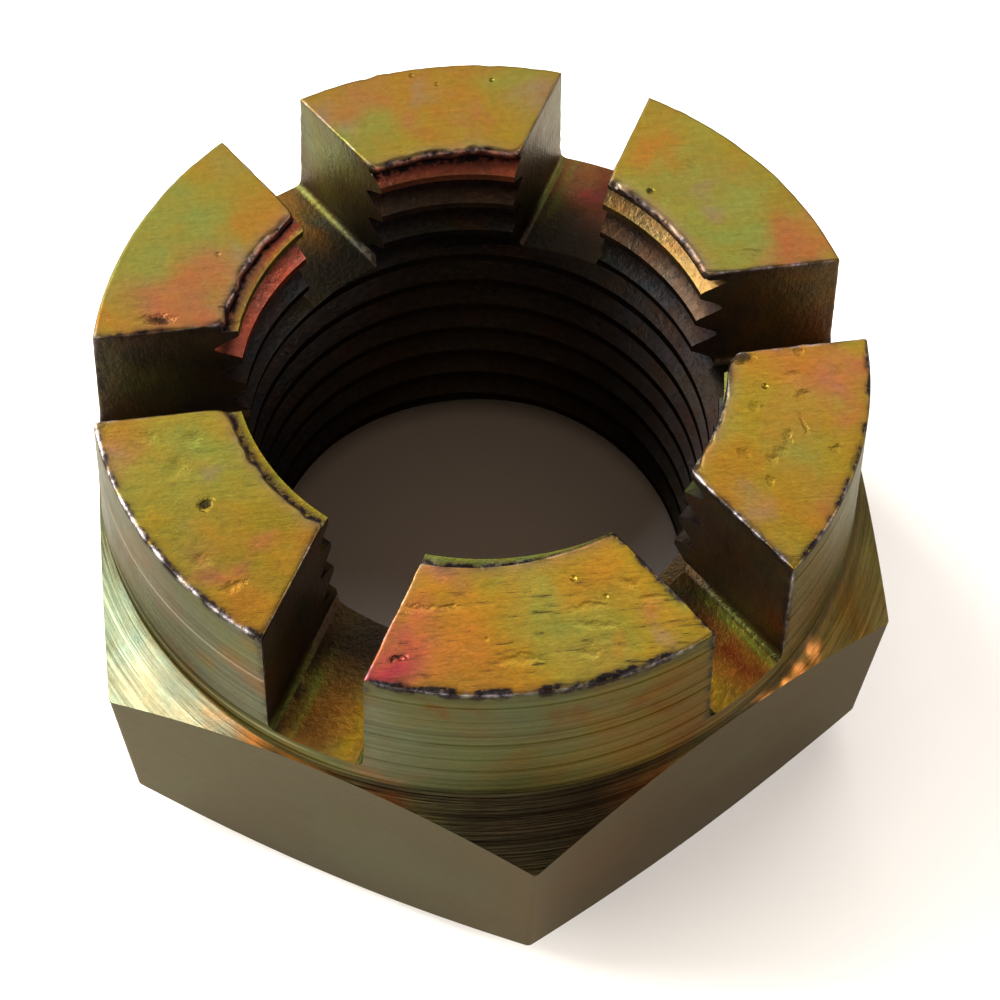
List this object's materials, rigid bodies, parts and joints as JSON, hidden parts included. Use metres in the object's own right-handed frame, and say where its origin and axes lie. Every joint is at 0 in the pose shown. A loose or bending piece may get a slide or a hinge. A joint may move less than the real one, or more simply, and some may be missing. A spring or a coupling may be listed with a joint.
{
  "type": "castle nut",
  "caption": "Hexagonal castle nut with a tapered round crown cut by cotter-pin slots, yellow passivated steel.",
  "frame": {"origin": "centre of the bearing face, on the thread axis", "axes": "+Z along the thread axis from the bearing face to the crown, one corner of the hexagon towards -Y, one pair of cotter slots along X"},
  "size_m": [0.036, 0.0416, 0.0215],
  "materials": {
    "yellow_zinc_steel": "yellow chromate over zinc plate on turned and milled steel"
  },
  "bodies": {
    "root": {"castle_nut": "yellow_zinc_steel"}
  },
  "joints": []
}
